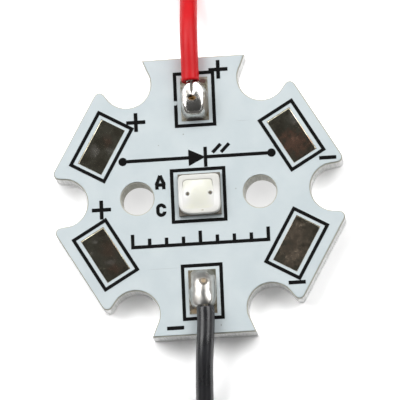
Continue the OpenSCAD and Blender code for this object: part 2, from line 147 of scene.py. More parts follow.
def spread_points(x: np.ndarray, y: np.ndarray, z: np.ndarray) -> np.ndarray:
    """Points from arrays of x, y and z, each stretched to the shape of all three."""
    return np.stack(np.broadcast_arrays(x, y, z), axis=-1)


def full_turn(count: int) -> np.ndarray:
    """Angles in equal steps round a circle, in radians."""
    return np.linspace(0, 2 * math.pi, count, endpoint=False)


def superellipse(a: np.ndarray, half_x: Size, half_y: Size, power: Size) -> np.ndarray:
    """Radius at each angle: (|cos a / half_x|^p + |sin a / half_y|^p)^(-1 / p)."""
    return (np.abs(np.cos(a) / half_x) ** power + np.abs(np.sin(a) / half_y) ** power) ** (-1 / power)


def smooth_step(x: np.ndarray) -> np.ndarray:
    """Rises from 0 to 1 with level ends, as 3x^2 - 2x^3."""
    t = np.clip(x, 0.0, 1.0)
    return t * t * (3.0 - 2.0 * t)


def hump(x: np.ndarray, centre: float, width: float) -> np.ndarray:
    """A bell of height 1: exp(-((x - centre) / width)^2)."""
    return np.exp(-((x - centre) / width) ** 2)


def soft_ramp(x: np.ndarray, soft: float) -> np.ndarray:
    """Zero before 0 and x after it, with the corner rounded: soft * ln(1 + e^(x / soft))."""
    return soft * np.logaddexp(0.0, x / soft)


def through_points(points: np.ndarray, per_span: int) -> np.ndarray:
    """A smooth curve through points: each span is the cubic whose end slopes are half the
    step between the neighbours on either side.

    Args:
        points: points to pass through, in order.
        per_span: samples on each span.

    Returns:
        The sampled points, ends included.
    """
    before = np.vstack([2 * points[:1] - points[1:2], points[:-2]])
    after = np.vstack([points[2:], 2 * points[-1:] - points[-2:-1]])
    p0, p1, p2, p3 = (p[:, None, :] for p in (before, points[:-1], points[1:], after))
    t = np.linspace(0, 1, per_span, endpoint=False)[None, :, None]
    curve = 0.5 * (2 * p1 + (p2 - p0) * t + (2 * p0 - 5 * p1 + 4 * p2 - p3) * t ** 2
                   + (3 * p1 - p0 - 3 * p2 + p3) * t ** 3)
    return np.vstack([curve.reshape(-1, 3), points[-1:]])


def tube_points(path: np.ndarray, radii: np.ndarray, sides: int) -> np.ndarray:
    """Rings round a path: centre + r (cos a * side + sin a * up), where side is level.

    Args:
        path: centreline points.
        radii: radius at each centreline point.
        sides: points on a ring.

    Returns:
        Array of rings by sides by 3.
    """
    along = np.gradient(path, axis=0)
    along /= np.linalg.norm(along, axis=1, keepdims=True)
    side = np.cross(along, np.array([0.0, 0.0, 1.0]))
    side /= np.linalg.norm(side, axis=1, keepdims=True)
    up = np.cross(side, along)
    a = full_turn(sides)[None, :, None]
    ring = np.cos(a) * side[:, None, :] + np.sin(a) * up[:, None, :]
    return path[:, None, :] + radii[:, None, None] * ring


def path_length(path: np.ndarray) -> float:
    """Length along a line of points."""
    return float(np.linalg.norm(np.diff(path, axis=0), axis=1).sum())


# Shader building

NOISE_MIDDLE = 0.5


class Graph:
    """A node tree with short methods for the nodes that the materials use."""

    def __init__(self, tree: bpy.types.NodeTree) -> None:
        """Works on a node tree."""
        self.tree = tree

    def feed(self, socket: Socket, value: object) -> None:
        """Links a socket into an input, or sets the input's own value.

        Args:
            socket: the input.
            value: a socket, a number, a vector or a colour without its alpha.
        """
        if isinstance(value, Socket):
            self.tree.links.new(value, socket)
        elif socket.type == "RGBA":
            socket.default_value = (*value, 1.0)
        else:
            socket.default_value = value

    def node(self, kind: str, feeds: Optional[Feeds] = None, **settings: object) -> bpy.types.Node:
        """Adds a node.

        Args:
            kind: the node's type.
            feeds: what goes into its inputs, by their names or places.
            settings: its plain properties, which are set first.

        Returns:
            The new node.
        """
        made = self.tree.nodes.new(kind)
        for key, value in settings.items():
            setattr(made, key, value)
        for key, value in (feeds or {}).items():
            self.feed(made.inputs[key], value)
        return made

    def math(self, kind: str, a: object, b: object = 0.0) -> Socket:
        """A Math node's result."""
        return self.node("ShaderNodeMath", {0: a, 1: b}, operation=kind).outputs[0]

    def mix(self, share: object, a: object, b: object) -> Socket:
        """A colour between a and b; 6, 7 and 2 are the places of the Mix node's colour sockets."""
        return self.node("ShaderNodeMix", {0: share, 6: a, 7: b}, data_type="RGBA").outputs[2]

    def spread(self, value: object, low: object, high: object, to_low: float = 0.0,
               to_high: float = 1.0) -> Socket:
        """A value mapped smoothly from one span to another."""
        feeds: Feeds = dict(enumerate((value, low, high, to_low, to_high)))
        return self.node("ShaderNodeMapRange", feeds, interpolation_type="SMOOTHSTEP").outputs[0]

    def noise(self, where: Socket, scale: object, detail: float) -> Socket:
        """Fractal noise, with scale in features to a unit of length."""
        return self.node("ShaderNodeTexNoise", {"Vector": where, "Scale": scale, "Detail": detail}).outputs[0]

    def vector(self, kind: str, a: Socket, b: Socket) -> Socket:
        """A Vector Math node's vector."""
        return self.node("ShaderNodeVectorMath", {0: a, 1: b}, operation=kind).outputs[0]

    def length(self, vector: Socket) -> Socket:
        """The length of a vector."""
        return self.node("ShaderNodeVectorMath", {0: vector}, operation="LENGTH").outputs["Value"]

    def split(self, vector: Socket) -> bpy.types.bpy_prop_collection:
        """The X, Y and Z of a vector, as sockets by name."""
        return self.node("ShaderNodeSeparateXYZ", {0: vector}).outputs


def mask_group(name: str, vectors: Sequence[str],
               values: Dict[str, float]) -> Tuple[Graph, Dict[str, Socket], Socket]:
    """Starts a shader node group that puts out one mask.

    Args:
        name: the group's name.
        vectors: names of its vector inputs.
        values: names of its number inputs, with what they hold at first.

    Returns:
        The group's graph, its inputs by name and the socket that takes the mask.
    """
    tree = bpy.data.node_groups.new(name, "ShaderNodeTree")
    for label in vectors:
        tree.interface.new_socket(name=label, in_out="INPUT", socket_type="NodeSocketVector")
    for label, value in values.items():
        socket = tree.interface.new_socket(name=label, in_out="INPUT", socket_type="NodeSocketFloat")
        socket.default_value = value
    tree.interface.new_socket(name="Mask", in_out="OUTPUT", socket_type="NodeSocketFloat")
    g = Graph(tree)
    entry = g.node("NodeGroupInput")
    leave = g.node("NodeGroupOutput")
    return g, {s.name: s for s in entry.outputs}, leave.inputs["Mask"]


class Effects:
    """Surface effects that several finishes share, each a node group built once."""

    cloud_detail: float = 4.0
    rim_scale: float = 3.0
    rim_detail: float = 3.0

    def __init__(self) -> None:
        """Builds the groups."""
        self.mottle = self._mottle()
        self.spot = self._spot()

    def _mottle(self) -> bpy.types.NodeTree:
        """Builds cloudy patches: fractal noise whose middle part is stretched to 0..1.

        Returns:
            The group.
        """
        g, entry, mask = mask_group("Mottle", ("Vector",), {"Scale": 1.0, "Low": 0.35, "High": 0.65})
        noise = g.noise(entry["Vector"], entry["Scale"], self.cloud_detail)
        g.feed(mask, g.spread(noise, entry["Low"], entry["High"]))
        return g.tree

    def _spot(self) -> bpy.types.NodeTree:
        """Builds an oval patch with a ragged rim: 1 inside, fading where the distance from the
        centre, in radii and pushed about by noise, passes 1.

        Returns:
            The group.
        """
        g, entry, mask = mask_group("Ragged spot", ("Vector", "Centre", "Radii"),
                                    {"Ragged": 0.6, "Soft": 0.5})
        away = g.vector("SUBTRACT", entry["Vector"], entry["Centre"])
        radii = g.length(g.vector("DIVIDE", away, entry["Radii"]))
        noise = g.noise(entry["Vector"], self.rim_scale, self.rim_detail)
        push = g.math("MULTIPLY", g.math("SUBTRACT", noise, NOISE_MIDDLE), 1.0 / NOISE_MIDDLE)
        reach = g.math("ADD", radii, g.math("MULTIPLY", push, entry["Ragged"]))
        inner = g.math("SUBTRACT", 1.0, entry["Soft"])
        g.feed(mask, g.spread(reach, inner, 1.0, 1.0, 0.0))
        return g.tree


EFFECTS = Effects()


class Skin(Graph):
    """A material in the making: one Principled shader, and Object coordinates in millimetres."""

    def __init__(self, name: str) -> None:
        """Starts an empty material.

        Args:
            name: the material's name.
        """
        self.material = bpy.data.materials.new(name)
        self.material.use_nodes = True
        super().__init__(self.material.node_tree)
        self.tree.nodes.clear()
        self.shader = self.node("ShaderNodeBsdfPrincipled")
        self.node("ShaderNodeOutputMaterial", {"Surface": self.shader.outputs[0]})
        place = self.node("ShaderNodeTexCoord").outputs["Object"]
        scaled = self.node("ShaderNodeVectorMath", {0: place, "Scale": 1.0 / MM}, operation="SCALE")
        self.where = scaled.outputs[0]

    def put(self, label: str, value: object) -> None:
        """Feeds one of the shader's inputs."""
        self.feed(self.shader.inputs[label], value)

    def stained(self, colour: object, patches: Sequence["Patch"]) -> object:
        """Lays patches over a colour, one after the other: stains, and on some finishes painted shade and
        highlights.

        Args:
            colour: a colour or a socket.
            patches: the stains and painted marks.

        Returns:
            The stained colour.
        """
        for patch in patches:
            colour = self.mix(patch.mask(self), colour, patch.colour)
        return colour

    def bump(self, height: Socket, strength: float, depth: float) -> None:
        """Tilts the shader's normal as a relief of this depth, in millimetres, would."""
        feeds: Feeds = {"Strength": strength, "Distance": depth * MM, "Height": height}
        self.put("Normal", self.node("ShaderNodeBump", feeds).outputs[0])


@dataclass(frozen=True)
class Clouds:
    """Cloudy patches: features to a millimetre, and the span of the noise that they fade over."""

    scale: float
    low: float = 0.35
    high: float = 0.65

    def mask(self, skin: Skin) -> Socket:
        """Their share at each place."""
        feeds: Feeds = {"Vector": skin.where, "Scale": self.scale, "Low": self.low, "High": self.high}
        return skin.node("ShaderNodeGroup", feeds, node_tree=EFFECTS.mottle).outputs[0]


@dataclass(frozen=True)
class Grain:
    """A relief of fractal noise: features to a millimetre, depth in millimetres, strength and detail."""

    scale: float
    depth: float
    strength: float = 0.3
    detail: float = 3.0

    def lay(self, skin: Skin) -> None:
        """Puts the relief on a material."""
        skin.bump(skin.noise(skin.where, self.scale, self.detail), self.strength, self.depth)


@dataclass(frozen=True)
class Ripple(Grain):
    """A smooth, strong relief, as on metal that was rolled or has frozen."""

    strength: float = 0.6
    detail: float = 0.5


@dataclass(frozen=True)
class Hairlines:
    """Fine curved scratches: the places where a smooth noise passes its middle value, in patches."""

    rough: float
    scale: float = 2.2
    detail: float = 1.0
    width: float = 0.02
    clouds: Clouds = Clouds(1.3, 0.45, 0.6)

    def mask(self, skin: Skin) -> Socket:
        """Works out what the scratches add to the roughness.

        Args:
            skin: the material in the making.

        Returns:
            The added roughness.
        """
        noise = skin.noise(skin.where, self.scale, self.detail)
        off = skin.math("ABSOLUTE", skin.math("SUBTRACT", noise, NOISE_MIDDLE))
        line = skin.spread(off, 0.0, self.width, 1.0, 0.0)
        return skin.math("MULTIPLY", skin.math("MULTIPLY", line, self.clouds.mask(skin)), self.rough)


@dataclass(frozen=True)
class Patch:
    """An oval patch of colour, used for stains and for painted shade and highlights: its centre and radii
    on the board in millimetres, its colour, its strength, how ragged its rim is, how far it stays
    metal and how soft its rim is.

    From its level it reaches through the whole height of the object. On a metal it is at least as
    rough as a crust, or as a mere tint where it stays metal.
    """

    centre: Pair
    radii: Pair
    colour: Rgb
    strength: float = 1.0
    ragged: float = 0.6
    metal: float = 0.0
    soft: float = 0.5
    level: Level = Level.MASK
    radius_z: float = 20.0
    crust_rough: float = 0.3
    tint_rough: float = 0.18

    def mask(self, skin: Skin) -> Socket:
        """Works out the stain's share at each place.

        Args:
            skin: the material in the making.

        Returns:
            The share, up to the stain's strength.
        """
        feeds: Feeds = {"Vector": skin.where, "Centre": (*self.centre, self.level.value),
                        "Radii": (*self.radii, self.radius_z), "Ragged": self.ragged, "Soft": self.soft}
        spot = skin.node("ShaderNodeGroup", feeds, node_tree=EFFECTS.spot).outputs[0]
        return skin.math("MULTIPLY", spot, self.strength)

    def rough(self) -> float:
        """The least roughness of a metal under it."""
        return self.crust_rough + (self.tint_rough - self.crust_rough) * self.metal


class Finish:
    """Base of the finishes: each has a name and paints one material."""

    name: str

    def material(self) -> bpy.types.Material:
        """Builds the material.

        Returns:
            The painted material.
        """
        skin = Skin(self.name)
        self.paint(skin)
        return skin.material

    def paint(self, skin: Skin) -> None:
        """Paints a material in the making."""
        raise NotImplementedError


@dataclass(frozen=True)
class PlainFinish(Finish):
    """Mask, ink, plastic, resin or ceramic: one colour or two in clouds, a roughness that goes with
    them or has clouds of its own, a fine grain, and stains that on the reflector include painted
    highlights."""

    name: str
    colour: Rgb
    other: Optional[Rgb]
    rough: Pair
    clouds: Clouds = Clouds(1.5)
    rough_clouds: Optional[Clouds] = None
    grain: Grain = Grain(8.0, 0.005)
    specular: float = 0.5
    stains: Tuple[Patch, ...] = ()

    def paint(self, skin: Skin) -> None:
        """Paints the colour, the stains, the gloss and the grain.

        Args:
            skin: the material in the making.
        """
        share = self.clouds.mask(skin)
        colour = skin.mix(share, self.colour, self.other) if self.other else self.colour
        skin.put("Base Color", skin.stained(colour, self.stains))
        haze = self.rough_clouds.mask(skin) if self.rough_clouds else share
        skin.put("Roughness", skin.spread(haze, 0.0, 1.0, *self.rough))
        skin.put("Specular IOR Level", self.specular)
        self.grain.lay(skin)


@dataclass(frozen=True)
class MetalFinish(Finish):
    """A metal with clouded colour and gloss, a rippled surface, and stains, on the bright solder also a
    line of painted shade, or hairlines if it has any.

    A foot gives the heights between which a dull haze at the bottom fades out.
    """

    name: str
    bright: Rgb
    dull: Rgb
    rough: Pair
    clouds: Clouds = Clouds(1.2, 0.4, 0.68)
    ripple: Ripple = Ripple(2.0, 0.01)
    stains: Tuple[Patch, ...] = ()
    hairlines: Optional[Hairlines] = None
    foot: Optional[Pair] = None
    foot_rough: float = 0.45

    def paint(self, skin: Skin) -> None:
        """Paints the metal; a stain, and likewise the painted shade, covers its colour, dulls it and takes
        its shine.

        Args:
            skin: the material in the making.
        """
        cloud = self.clouds.mask(skin)
        colour: object = skin.mix(cloud, self.bright, self.dull)
        metal: object = 1.0
        rough = skin.spread(cloud, 0.0, 1.0, *self.rough)
        for stain in self.stains:
            share = stain.mask(skin)
            colour = skin.mix(share, colour, stain.colour)
            if stain.metal < 1.0:
                bare = skin.math("SUBTRACT", 1.0, skin.math("MULTIPLY", share, 1.0 - stain.metal))
                metal = skin.math("MULTIPLY", metal, bare)
            rough = skin.math("MAXIMUM", rough, skin.math("MULTIPLY", share, stain.rough()))
        if self.hairlines:
            rough = skin.math("ADD", rough, self.hairlines.mask(skin))
        if self.foot:
            haze = skin.spread(skin.split(skin.where)["Z"], *self.foot, self.foot_rough, 0.0)
            rough = skin.math("MAXIMUM", rough, haze)
        skin.put("Base Color", colour)
        skin.put("Metallic", metal)
        skin.put("Roughness", rough)
        self.ripple.lay(skin)


@dataclass(frozen=True)
class EdgeFinish(Finish):
    """Punched aluminium: upright drag marks on the walls, a fine grain on the back and painted shade,
    an olive darkening, on the walls of the drilled holes."""

    name: str
    bright: Rgb
    dull: Rgb
    rough: Pair
    metallic: float = 0.4
    drag_scale: Vec = (9.0, 9.0, 0.7)
    drag_detail: float = 3.0
    drag_span: Pair = (0.35, 0.65)
    drag_depth: float = 0.015
    drag_strength: float = 0.25
    # painted shade on the walls of the drilled holes
    drilled: Tuple[Patch, ...] = ()

    def paint(self, skin: Skin) -> None:
        """Paints noise that is drawn out upright, which gives colour, gloss and relief.

        Args:
            skin: the material in the making.
        """
        drawn = skin.node("ShaderNodeMapping", {"Vector": skin.where, "Scale": self.drag_scale}).outputs[0]
        drag = skin.noise(drawn, 1.0, self.drag_detail)
        share = skin.spread(drag, *self.drag_span)
        # the hole walls' painted shade goes over the drag colour
        skin.put("Base Color", skin.stained(skin.mix(share, self.dull, self.bright), self.drilled))
        skin.put("Metallic", self.metallic)
        skin.put("Roughness", skin.spread(share, 0.0, 1.0, *self.rough))
        skin.bump(drag, self.drag_strength, self.drag_depth)


@dataclass(frozen=True)
class ClearFinish(Finish):
    """Silicone, milky but for a clear place over each bond pad, with a warm tint that is painted paler at
    two sides as a painted highlight, and an uneven skin."""

    name: str
    tint: Rgb
    pale: Rgb
    rough: float
    clouds: Clouds = Clouds(1.5, 0.3, 0.7)
    grain: Grain = Grain(3.0, 0.004, 0.15)
    # painted highlights: paler patches at the fill's left and right sides
    sides: Tuple[Patch, ...] = ()
    milk: float = 0.92
    clear: float = 0.06
    clear_r: float = 0.2
    clear_rz: float = 9.0
    clear_dy: float = -0.04
    clear_ragged: float = 0.2
    clear_soft: float = 0.6

    def milkiness(self, skin: Skin) -> object:
        """Works out the share of light that the milk stops, which is less over each bond pad.

        Args:
            skin: the material in the making.

        Returns:
            The share at each place.
        """
        low, high = (np.array(corner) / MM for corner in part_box("led_bond_pads"))
        half = (high[1] - low[1]) / 2
        y = low[1] + half + self.clear_dy
        milk: object = self.milk
        for x in (low[0] + half, high[0] - half):
            place = Patch((x, y), (self.clear_r, self.clear_r), self.tint, self.milk - self.clear,
                          self.clear_ragged, soft=self.clear_soft, level=Level.LED_RIM,
                          radius_z=self.clear_rz)
            milk = skin.math("SUBTRACT", milk, place.mask(skin))
        return milk

    def paint(self, skin: Skin) -> None:
        """Paints the tint with its painted side highlights, the gloss, the milk and the uneven skin.

        Args:
            skin: the material in the making.
        """
        colour = skin.mix(self.clouds.mask(skin), self.tint, self.pale)
        # the sides are painted highlights laid over the tint
        skin.put("Base Color", skin.stained(colour, self.sides))
        skin.put("Roughness", self.rough)
        skin.put("Alpha", self.milkiness(skin))
        self.grain.lay(skin)


# Stains and wear, with painted shade and painted highlights, on the board in millimetres


def tint(centre: Pair, radii: Pair, colour: Rgb, strength: float, ragged: float = 0.6) -> Patch:
    """A wide-rimmed discolouring that leaves the metal bare."""
    return Patch(centre, radii, colour, strength, ragged, metal=1.0, soft=0.95)


FLUX = (0.16, 0.115, 0.06)
# dark brown flux, and also the painted shade of the red joint's groove line
DARK_FLUX_AND_GROOVE_SHADE = (0.045, 0.028, 0.018)
RED_FLUX = (0.11, 0.04, 0.03)
PIT_FLUX = (0.05, 0.028, 0.01)
TAN_FLUX = (0.42, 0.31, 0.19)
GREEN_FLUX = (0.085, 0.09, 0.065)
PALE_SMEAR = (0.60, 0.66, 0.68)
TRACE_LINE = (0.52, 0.575, 0.59)
SPECK = (0.25, 0.26, 0.24)
HOLE_SHADE_OLIVE = (0.36, 0.35, 0.28)
RIM_WHITE = (0.78, 0.775, 0.735)
# colour of the painted side highlights on the LED
SIDE_HIGHLIGHT_WHITE = (0.97, 0.965, 0.95)
MOULD_WARM = (0.93, 0.925, 0.84)
GATE_BROWN = (0.45, 0.37, 0.26)
TARNISH = (0.66, 0.40, 0.29)
SMUDGE = (0.95, 0.90, 0.80)
BROWN = (0.95, 0.76, 0.58)

MASK_STAINS = (
    Patch((3.3, 5.18), (0.7, 0.035), TRACE_LINE, 0.6, 0.2),
    Patch((-2.7, -5.15), (1.6, 0.035), TRACE_LINE, 0.6, 0.2),
    Patch((-0.9, 4.45), (0.07, 0.06), SPECK, 0.7, 0.2),
    Patch((-2.7, 3.75), (0.05, 0.05), SPECK, 0.6, 0.2),
    Patch((2.65, 0.3), (0.06, 0.07), SPECK, 0.5, 0.2),
    Patch((1.2, -9.4), (0.05, 0.1), SPECK, 0.6, 0.2),
)
INK_WORN = (
    Patch((-1.36, 6.72), (0.3, 0.2), PALE_SMEAR, 0.95),
)
# painted shade: the drilled holes' walls darkened to olive, more in the left hole
PAINTED_HOLE_SHADE = (
    Patch((-HOLE_X, 0.0), (2.6, 2.6), HOLE_SHADE_OLIVE, 0.85, 0.1),
    Patch((HOLE_X, 0.0), (2.6, 2.6), HOLE_SHADE_OLIVE, 0.6, 0.1),
)
# painted highlights: whiter patches on the LED's left and right sides
PAINTED_SIDE_HIGHLIGHTS = (
    Patch((-1.05, -0.3), (0.85, 1.15), SIDE_HIGHLIGHT_WHITE, 0.9, 0.1, soft=0.9),
    Patch((1.25, -0.35), (0.85, 1.15), SIDE_HIGHLIGHT_WHITE, 0.9, 0.1, soft=0.9),
)
# the reflector's marks: a warm middle, a brown gate mark and the painted side highlights
MOULD_MARKS_AND_SIDE_HIGHLIGHTS = (
    Patch((0.05, -0.25), (1.7, 1.5), MOULD_WARM, 1.0, 0.15, soft=0.8),
    *PAINTED_SIDE_HIGHLIGHTS,
    Patch((0.29, -1.25), (0.12, 0.05), GATE_BROWN, 0.8, 0.3),
)
# stains on the bright solder, and a line of painted shade down its groove
RED_JOINT_STAINS_AND_GROOVE_SHADE = (
    Patch((-0.07, 6.77), (0.42, 0.34), PIT_FLUX, 1.0, 0.3, metal=1.0),
    # painted shade: a dark line down the groove between the two highlights
    Patch((-0.1, 7.62), (0.1, 0.75), DARK_FLUX_AND_GROOVE_SHADE, 0.9, 0.15),
    Patch((0.88, 6.2), (0.2, 1.3), FLUX, 0.8),
    Patch((0.05, 5.42), (1.2, 0.12), DARK_FLUX_AND_GROOVE_SHADE, 0.95),
)
BLACK_JOINT_STAINS = (
    Patch((0.17, -6.36), (0.42, 0.36), FLUX, 0.8, 0.3),
    Patch((0.17, -6.36), (0.2, 0.17), TAN_FLUX, 0.9, 0.3),
    Patch((-0.88, -6.2), (0.2, 0.9), FLUX, 0.85),
    Patch((0.7, -5.62), (0.5, 0.42), GREEN_FLUX, 0.85),
)
WIRE_PAD_STAINS = (
    Patch((0.62, 8.25), (0.36, 0.22), RED_FLUX, 0.9),
    Patch((0.92, 6.5), (0.16, 1.5), FLUX, 0.8),
    Patch((0.05, 5.42), (0.95, 0.1), DARK_FLUX_AND_GROOVE_SHADE, 0.9),
    Patch((-0.92, -6.1), (0.16, 1.0), FLUX, 0.85),
    Patch((-0.8, -8.05), (0.4, 0.3), DARK_FLUX_AND_GROOVE_SHADE, 0.8),
    Patch((-0.6, -8.3), (0.32, 0.22), TAN_FLUX, 0.9),
    Patch((0.8, -8.3), (0.3, 0.4), FLUX, 0.6),
    Patch((0.7, -5.6), (0.5, 0.42), GREEN_FLUX, 0.85),
)
ARM_PAD_STAINS = (
    tint((6.9, 3.3), (1.7, 1.5), TARNISH, 1.0, 0.9),
    tint((7.0, 5.2), (0.7, 0.8), SMUDGE, 0.7),
    tint((6.75, -3.3), (1.7, 1.6), BROWN, 0.8),
    tint((6.4, -4.7), (1.5, 1.4), BROWN, 0.9, 0.8),
    tint((-7.26, 3.65), (0.5, 0.6), SMUDGE, 0.8),
    tint((-6.3, 4.3), (0.5, 0.7), TARNISH, 0.4),
    tint((-6.15, 3.55), (0.45, 0.4), SMUDGE, 0.6, 0.8),
    tint((-6.5, -3.6), (0.9, 1.1), TARNISH, 0.4),
    tint((-7.44, -2.95), (0.42, 0.2), SMUDGE, 0.9, 0.8),
    tint((-7.69, -3.76), (0.24, 0.24), SMUDGE, 0.9, 0.8),
    tint((-6.39, -4.47), (0.5, 0.3), SMUDGE, 0.8, 0.8),
    tint((-6.1, -4.9), (0.8, 0.7), TARNISH, 0.45, 0.8),
)

# Finishes by name; a record slot's has the slot's name

SOLDER_CLOUDS = Clouds(1.8, 0.4, 0.68)
SOLDER_RIPPLE = Ripple(2.2, 0.0012)
FINISHES: Dict[str, Finish] = {
    "mask": PlainFinish(
        "solder mask", (0.61, 0.685, 0.71), (0.66, 0.73, 0.75), (0.42, 0.52), Clouds(0.5, 0.3, 0.7),
        Clouds(2.5, 0.3, 0.7), Grain(6.0, 0.01, 0.25), stains=MASK_STAINS),
    "ink": PlainFinish(
        "printed ink", (0.006, 0.006, 0.006), (0.016, 0.016, 0.016), (0.6, 0.75), Clouds(5.0, 0.55, 0.8),
        grain=Grain(12.0, 0.006), specular=0.06, stains=INK_WORN),
    "aluminium": EdgeFinish(
        "punched aluminium", (0.86, 0.86, 0.85), (0.72, 0.72, 0.71), (0.55, 0.38), drilled=PAINTED_HOLE_SHADE),
    "insulator": PlainFinish(
        "insulating resin", (0.54, 0.53, 0.46), (0.60, 0.59, 0.52), (0.6, 0.72)),
    "copper": MetalFinish(
        "copper foil", (0.80, 0.42, 0.26), (0.55, 0.28, 0.17), (0.25, 0.4)),
    "tin": MetalFinish(
        "pad tin", (0.62, 0.59, 0.46), (0.24, 0.22, 0.165), (0.14, 0.19), Clouds(1.1, 0.33, 0.62),
        Ripple(1.6, 0.004), ARM_PAD_STAINS, Hairlines(0.07)),
    "solder": MetalFinish(
        "bright solder", (0.70, 0.69, 0.66), (0.60, 0.58, 0.54), (0.18, 0.23), SOLDER_CLOUDS,
        SOLDER_RIPPLE, RED_JOINT_STAINS_AND_GROOVE_SHADE, foot=(2.3, 2.8)),
    "dull_solder": MetalFinish(
        "dull solder", (0.72, 0.71, 0.68), (0.58, 0.56, 0.52), (0.29, 0.37), SOLDER_CLOUDS,
        SOLDER_RIPPLE, BLACK_JOINT_STAINS, foot=(2.0, 2.45)),
    "solder_film": MetalFinish(
        "solder film", (0.60, 0.57, 0.48), (0.20, 0.185, 0.13), (0.34, 0.44), Clouds(2.6, 0.4, 0.62),
        Ripple(2.0, 0.006), WIRE_PAD_STAINS),
    "strands": MetalFinish(
        "tinned strands", (0.80, 0.76, 0.68), (0.62, 0.55, 0.45), (0.2, 0.35)),
    "gold": MetalFinish(
        "gold plating", (0.50, 0.36, 0.15), (0.26, 0.19, 0.09), (0.25, 0.4), Clouds(6.0, 0.4, 0.68)),
    # part own colour, part painted shade: the carrier's grey-brown is darkened to the shade round the LED's
    # foot
    "ceramic": PlainFinish(
        "fired ceramic", (0.20, 0.18, 0.15), (0.16, 0.145, 0.12), (0.6, 0.72), Clouds(3.0)),
    # the reflector carries the painted side highlights among its marks
    "reflector": PlainFinish(
        "white reflector", RIM_WHITE, None, (0.4, 0.55), Clouds(4.0, 0.3, 0.7),
        grain=Grain(9.0, 0.004, 0.2), stains=MOULD_MARKS_AND_SIDE_HIGHLIGHTS),
    "die": PlainFinish(
        "die", (0.78, 0.77, 0.68), (0.74, 0.73, 0.64), (0.3, 0.36)),
    "phosphor": PlainFinish(
        "phosphor plate", (0.90, 0.885, 0.76), (0.88, 0.86, 0.72), (0.7, 0.84), Clouds(5.0)),
    # the silicone carries the painted side highlights at its sides
    "silicone": ClearFinish(
        "clear silicone", (0.97, 0.97, 0.84), (0.97, 0.97, 0.88), 0.14, sides=PAINTED_SIDE_HIGHLIGHTS),
    "red_insulation": PlainFinish(
        "red insulation", (0.68, 0.010, 0.015), (0.62, 0.008, 0.013), (0.36, 0.432), Clouds(0.8),
        grain=Grain(5.0, 0.008), specular=0.24),
    "black_insulation": PlainFinish(
        "black insulation", (0.015, 0.015, 0.017), (0.021, 0.021, 0.024), (0.27, 0.324), Clouds(0.8),
        grain=Grain(5.0, 0.004), specular=0.65),
    "tie": PlainFinish(
        "plastic tie", (0.78, 0.78, 0.76), (0.72, 0.72, 0.70), (0.4, 0.48)),
}


class Dresser:
    """Holds the finishes as materials, each built once, and puts them on the pieces."""

    def __init__(self) -> None:
        """Builds the materials."""
        self.by_name = {name: finish.material() for name, finish in FINISHES.items()}

    def dress(self, obj: bpy.types.Object, name: str) -> None:
        """Gives an object the named finish on all of its faces."""
        obj.data.materials.clear()
        obj.data.materials.append(self.by_name[name])

    def dress_frame(self) -> None:
        """Gives each CAD node the finish of its record slot, and the wire pads their solder film."""
        for row in frame["record"]["subparts"]:
            self.dress(frame["nodes"][row["node"]], row["material_slot"])
        self.dress(frame["nodes"]["wire_pad_tin"], "solder_film")


# Pieces


def settle(obj: bpy.types.Object, slot: str, dresser: Dresser, *nodes: str) -> bpy.types.Object:
    """Dresses a new piece, rides it on the object and lets it stand for CAD nodes.

    Args:
        obj: the new piece.
        slot: the record's material slot.
        dresser: the built finishes.
        nodes: CAD nodes that the piece replaces.

    Returns:
        The same object.
    """
    dresser.dress(obj, slot)
    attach(obj, "root")
    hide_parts(*nodes)
    LOG.info("piece %s: %d faces", obj.name, len(obj.data.polygons))
    return obj


